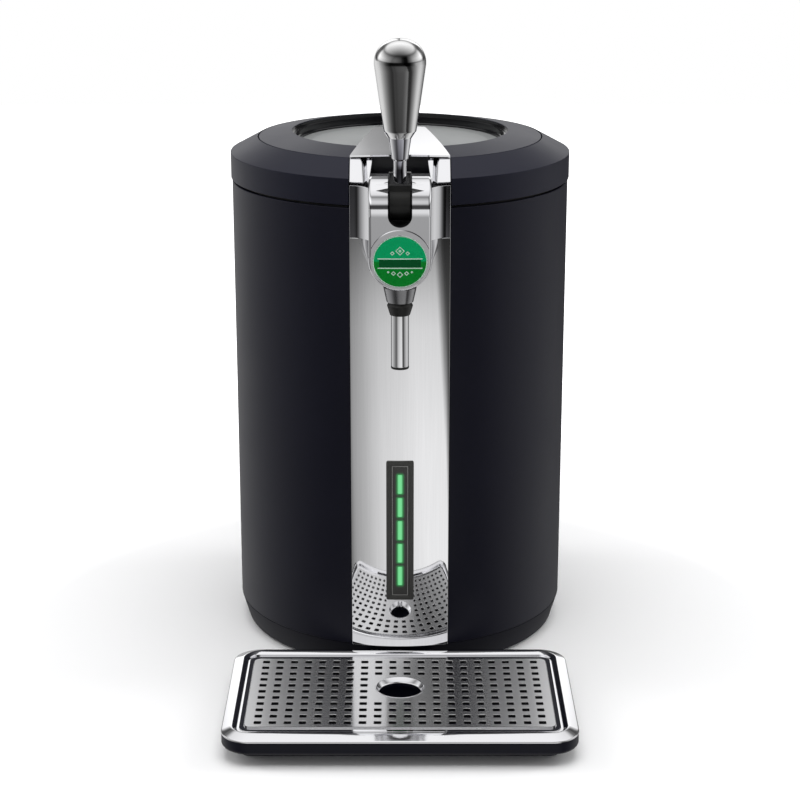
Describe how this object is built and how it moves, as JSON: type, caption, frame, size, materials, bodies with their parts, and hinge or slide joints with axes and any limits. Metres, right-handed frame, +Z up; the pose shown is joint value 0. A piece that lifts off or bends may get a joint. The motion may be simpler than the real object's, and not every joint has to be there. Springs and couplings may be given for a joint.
{
  "type": "mini keg beer dispenser",
  "caption": "Countertop cooled mini keg beer dispenser: drum body with hinged lid, chrome pull-lever tap over a removable drip tray, light-bar display and rear vent.",
  "frame": {"origin": "middle of the footprint, on the surface the dispenser stands on", "axes": "+Z up, -Y to the front where the tap and drip tray are, +X to the right seen from the front"},
  "size_m": [0.274, 0.4494, 0.509],
  "materials": {
    "shell_plastic": "soft matt",
    "lid_plastic": "soft matt",
    "gloss_black": "gloss",
    "steel": "satin polished",
    "chrome": "mirror",
    "dark_chrome": "mirror",
    "black_plastic": "satin",
    "inner_plastic": "matt",
    "foam": "beaded foam",
    "aluminium": "satin",
    "ceramic_white": "matt",
    "rubber": "matt",
    "board": "satin",
    "smoked": "gloss",
    "light_green": "lit",
    "badge_green": "gloss",
    "window_grey": "satin",
    "fastener": "plain"
  },
  "bodies": {
    "root": {"base_pan": "shell_plastic", "feet": "rubber", "base_screws": "fastener", "cradle": "inner_plastic", "outer_shell": "shell_plastic", "front_column": "black_plastic", "front_strip": "steel", "top_deck": "black_plastic", "liner": "aluminium", "keg_mat": "rubber", "temperature_sensor": "ceramic_white", "insulation_floor": "foam", "insulation_left": "foam", "insulation_right": "foam", "cold_block": "aluminium", "peltier_module": "ceramic_white", "heat_sink": "aluminium", "fan_frame": "black_plastic", "vent_panel": "shell_plastic", "power_inlet": "black_plastic", "switch_frame": "black_plastic", "power_board": "board", "display_bezel": "gloss_black", "led_bars": "light_green", "display_window": "smoked", "display_board": "board", "tap_surround": "chrome", "tap_backplate": "chrome", "tap_head": "chrome", "lever_pin": "fastener", "badge_ring": "chrome", "badge_face": "badge_green", "spout_nozzle": "chrome", "spout_collar": "black_plastic", "spout_tube": "steel", "spout_tip": "black_plastic", "lid_gasket": "rubber", "hinge_bracket": "black_plastic", "hinge_pin": "fastener"},
    "tap_lever": {"lever_hub": "black_plastic", "lever_neck": "chrome", "lever_grip": "dark_chrome"},
    "plunger": {"pinch_plunger": "inner_plastic"},
    "lid": {"lid_outer_ring": "lid_plastic", "lid_inner_ring": "lid_plastic", "lid_window": "window_grey", "lid_foam": "foam", "lid_liner": "inner_plastic", "lid_screws": "fastener", "lid_tongue": "chrome", "lid_yoke": "gloss_black", "lid_hinge_arm": "black_plastic"},
    "drip_tray": {"tray_base": "shell_plastic", "tray_feet": "rubber", "tray_rim": "chrome"},
    "drip_grid": {"tray_grid": "steel"},
    "fan": {"fan_rotor": "black_plastic"},
    "switch": {"rocker_switch": "black_plastic"}
  },
  "joints": [
    {"name": "lever_pull", "type": "hinge", "parent": "root", "child": "tap_lever", "pos_m": [0, -0.10025, 0.39], "axis": [1, 0, 0], "range_deg": [0, 40]},
    {"name": "plunger_slide", "type": "slide", "parent": "root", "child": "plunger", "axis": [0, -1, 0], "range_m": [0, 0.003]},
    {"name": "lid_hinge", "type": "hinge", "parent": "root", "child": "lid", "pos_m": [0, 0.22025, 0.379], "axis": [-1, 0, 0], "range_deg": [0, 95]},
    {"name": "tray_slide", "type": "slide", "parent": "root", "child": "drip_tray", "axis": [0, -1, 0], "range_m": [0, 0.15]},
    {"name": "grid_lift", "type": "slide", "parent": "drip_tray", "child": "drip_grid", "axis": [0, 0, 1], "range_m": [0, 0.08]},
    {"name": "fan_spin", "type": "hinge", "parent": "root", "child": "fan", "pos_m": [0, 0.19875, 0.2], "axis": [0, 1, 0], "continuous": true},
    {"name": "switch_rock", "type": "hinge", "parent": "root", "child": "switch", "pos_m": [0.022, 0.20975, 0.049], "axis": [1, 0, 0], "range_deg": [0, 14]}
  ],
  "couplings": [
    {"joint": "plunger_slide", "follows": "lever_pull", "m_per_rad": 0.0042}
  ]
}
